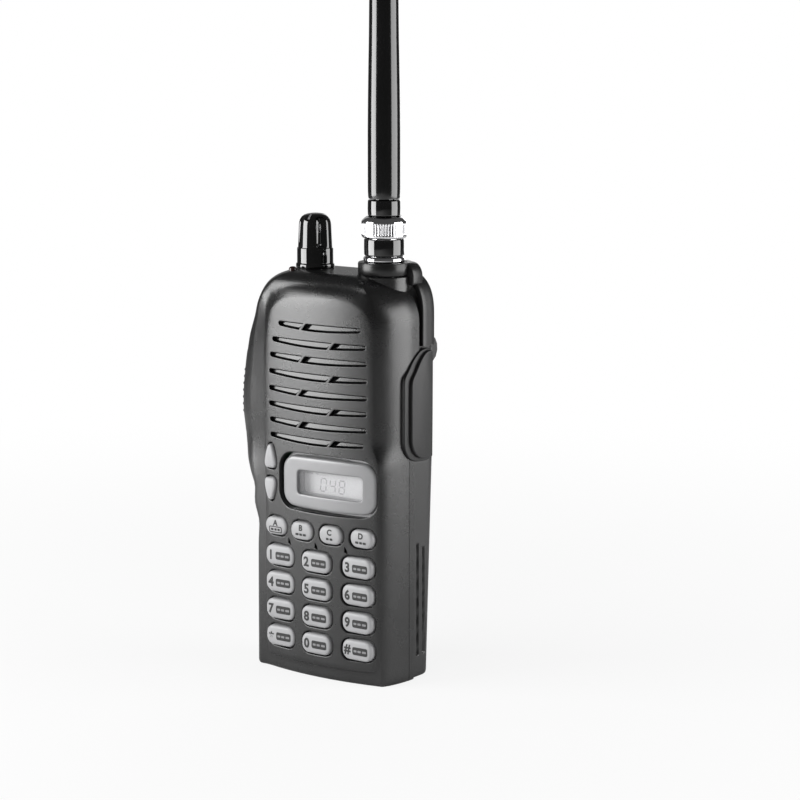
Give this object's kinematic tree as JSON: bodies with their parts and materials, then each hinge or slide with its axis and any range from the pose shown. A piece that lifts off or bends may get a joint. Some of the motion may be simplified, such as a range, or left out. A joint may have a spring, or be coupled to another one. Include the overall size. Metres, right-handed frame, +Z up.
{
  "type": "handheld two-way radio",
  "caption": "Slim handheld two-way radio with whip aerial, volume knob, slotted speaker front, small display, keypad, push-to-talk bar, jack cover, belt clip and slide-off battery pack.",
  "frame": {"origin": "centre of the flat foot, on the plane the radio stands on", "axes": "+Z up along the body to the aerial, -Y out of the front with the keypad, +X to the right of someone facing the front"},
  "size_m": [0.064, 0.046, 0.2976],
  "materials": {
    "case_black": "fine grained, matte",
    "pack_black": "smooth, semi gloss",
    "gloss_black": "polished",
    "key_grey": "matte",
    "bezel_grey": "satin silver grey",
    "clear_window": "clear",
    "display_glass": "grey green liquid crystal",
    "rubber_black": "matte",
    "chrome": "bright",
    "brass": "bare",
    "board_green": "lacquered",
    "cloth_black": "woven",
    "steel": "bare",
    "lamp_red": "clear tinted",
    "cell_sleeve": "shrink sleeve",
    "white_plastic": "translucent silicone"
  },
  "bodies": {
    "radio": {"aerial_socket": "chrome", "clip_pin": "steel", "clip_plate": "case_black", "clip_screw_left": "steel", "clip_screw_right": "steel", "clip_spring": "steel", "cover_strap": "rubber_black", "display_bezel": "bezel_grey", "display_glass": "display_glass", "display_window": "clear_window", "front_case": "case_black", "keypad_mat": "white_plastic", "logic_board": "board_green", "main_board": "board_green", "mic_jack": "steel", "microphone": "steel", "rear_chassis": "pack_black", "side_switches": "board_green", "socket_nut": "chrome", "speaker": "steel", "speaker_cloth": "cloth_black", "speaker_jack": "steel", "status_lamp": "lamp_red", "volume_control": "steel"},
    "press_a": {"key_a": "key_grey"},
    "press_b": {"key_b": "key_grey"},
    "press_c": {"key_c": "key_grey"},
    "press_d": {"key_d": "key_grey"},
    "press_1": {"key_1": "key_grey"},
    "press_2": {"key_2": "key_grey"},
    "press_3": {"key_3": "key_grey"},
    "press_4": {"key_4": "key_grey"},
    "press_5": {"key_5": "key_grey"},
    "press_6": {"key_6": "key_grey"},
    "press_7": {"key_7": "key_grey"},
    "press_8": {"key_8": "key_grey"},
    "press_9": {"key_9": "key_grey"},
    "press_star": {"key_star": "key_grey"},
    "press_0": {"key_0": "key_grey"},
    "press_pound": {"key_pound": "key_grey"},
    "press_up": {"key_up": "key_grey"},
    "press_down": {"key_down": "key_grey"},
    "ptt": {"ptt_button": "rubber_black"},
    "monitor": {"monitor_key": "rubber_black"},
    "volume": {"volume_knob": "gloss_black", "volume_shaft": "steel"},
    "cover": {"jack_cover": "rubber_black"},
    "aerial": {"aerial_plug": "gloss_black", "aerial_sheath": "rubber_black", "aerial_coil": "brass"},
    "coupling": {"coupling_ring": "chrome", "coupling_sleeve": "gloss_black"},
    "battery": {"battery_case": "pack_black", "battery_lid": "pack_black", "battery_cell_left": "cell_sleeve", "battery_cell_right": "cell_sleeve", "battery_pad_plus": "brass", "battery_pad_minus": "brass"},
    "latch": {"battery_latch": "rubber_black"},
    "clip": {"clip_arm": "case_black"}
  },
  "joints": [
    {"name": "key_a_press", "type": "slide", "parent": "radio", "child": "press_a", "axis": [0, 1, 0], "range_m": [0, 0.0007], "stiffness_N_per_m": 1200, "springref_m": -0.0003},
    {"name": "key_b_press", "type": "slide", "parent": "radio", "child": "press_b", "axis": [0, 1, 0], "range_m": [0, 0.0007], "stiffness_N_per_m": 1200, "springref_m": -0.0003},
    {"name": "key_c_press", "type": "slide", "parent": "radio", "child": "press_c", "axis": [0, 1, 0], "range_m": [0, 0.0007], "stiffness_N_per_m": 1200, "springref_m": -0.0003},
    {"name": "key_d_press", "type": "slide", "parent": "radio", "child": "press_d", "axis": [0, 1, 0], "range_m": [0, 0.0007], "stiffness_N_per_m": 1200, "springref_m": -0.0003},
    {"name": "key_1_press", "type": "slide", "parent": "radio", "child": "press_1", "axis": [0, 1, 0], "range_m": [0, 0.0007], "stiffness_N_per_m": 1200, "springref_m": -0.0003},
    {"name": "key_2_press", "type": "slide", "parent": "radio", "child": "press_2", "axis": [0, 1, 0], "range_m": [0, 0.0007], "stiffness_N_per_m": 1200, "springref_m": -0.0003},
    {"name": "key_3_press", "type": "slide", "parent": "radio", "child": "press_3", "axis": [0, 1, 0], "range_m": [0, 0.0007], "stiffness_N_per_m": 1200, "springref_m": -0.0003},
    {"name": "key_4_press", "type": "slide", "parent": "radio", "child": "press_4", "axis": [0, 1, 0], "range_m": [0, 0.0007], "stiffness_N_per_m": 1200, "springref_m": -0.0003},
    {"name": "key_5_press", "type": "slide", "parent": "radio", "child": "press_5", "axis": [0, 1, 0], "range_m": [0, 0.0007], "stiffness_N_per_m": 1200, "springref_m": -0.0003},
    {"name": "key_6_press", "type": "slide", "parent": "radio", "child": "press_6", "axis": [0, 1, 0], "range_m": [0, 0.0007], "stiffness_N_per_m": 1200, "springref_m": -0.0003},
    {"name": "key_7_press", "type": "slide", "parent": "radio", "child": "press_7", "axis": [0, 1, 0], "range_m": [0, 0.0007], "stiffness_N_per_m": 1200, "springref_m": -0.0003},
    {"name": "key_8_press", "type": "slide", "parent": "radio", "child": "press_8", "axis": [0, 1, 0], "range_m": [0, 0.0007], "stiffness_N_per_m": 1200, "springref_m": -0.0003},
    {"name": "key_9_press", "type": "slide", "parent": "radio", "child": "press_9", "axis": [0, 1, 0], "range_m": [0, 0.0007], "stiffness_N_per_m": 1200, "springref_m": -0.0003},
    {"name": "key_star_press", "type": "slide", "parent": "radio", "child": "press_star", "axis": [0, 1, 0], "range_m": [0, 0.0007], "stiffness_N_per_m": 1200, "springref_m": -0.0003},
    {"name": "key_0_press", "type": "slide", "parent": "radio", "child": "press_0", "axis": [0, 1, 0], "range_m": [0, 0.0007], "stiffness_N_per_m": 1200, "springref_m": -0.0003},
    {"name": "key_pound_press", "type": "slide", "parent": "radio", "child": "press_pound", "axis": [0, 1, 0], "range_m": [0, 0.0007], "stiffness_N_per_m": 1200, "springref_m": -0.0003},
    {"name": "key_up_press", "type": "slide", "parent": "radio", "child": "press_up", "axis": [0, 1, 0], "range_m": [0, 0.0007], "stiffness_N_per_m": 1200, "springref_m": -0.0003},
    {"name": "key_down_press", "type": "slide", "parent": "radio", "child": "press_down", "axis": [0, 1, 0], "range_m": [0, 0.0007], "stiffness_N_per_m": 1200, "springref_m": -0.0003},
    {"name": "ptt_press", "type": "slide", "parent": "radio", "child": "ptt", "axis": [1, 0, 0], "range_m": [0, 0.0012], "stiffness_N_per_m": 2000, "springref_m": -0.0006},
    {"name": "monitor_press", "type": "slide", "parent": "radio", "child": "monitor", "axis": [1, 0, 0], "range_m": [0, 0.0006], "stiffness_N_per_m": 1500, "springref_m": -0.0004},
    {"name": "volume_turn", "type": "hinge", "parent": "radio", "child": "volume", "pos_m": [-0.01385, 0.0021, 0.131], "axis": [0, 0, -1], "range_deg": [0, 290]},
    {"name": "cover_pull", "type": "slide", "parent": "radio", "child": "cover", "axis": [1, 0, 0], "range_m": [0, 0.008]},
    {"name": "aerial_lift", "type": "slide", "parent": "radio", "child": "aerial", "axis": [0, 0, 1], "range_m": [0, 0.012]},
    {"name": "coupling_turn", "type": "hinge", "parent": "aerial", "child": "coupling", "pos_m": [0.01385, 0.0021, 0.146], "axis": [0, 0, 1], "range_deg": [0, 90]},
    {"name": "battery_slide", "type": "slide", "parent": "radio", "child": "battery", "axis": [0, 0, -1], "range_m": [0, 0.015]},
    {"name": "latch_slide", "type": "slide", "parent": "battery", "child": "latch", "axis": [0, 0, 1], "range_m": [0, 0.0025], "stiffness_N_per_m": 500, "springref_m": -0.002},
    {"name": "clip_open", "type": "hinge", "parent": "radio", "child": "clip", "pos_m": [0, 0.0245, 0.1043], "axis": [1, 0, 0], "range_deg": [0, 22], "stiffness_Nm_per_rad": 0.6, "springref_deg": -11.46}
  ]
}
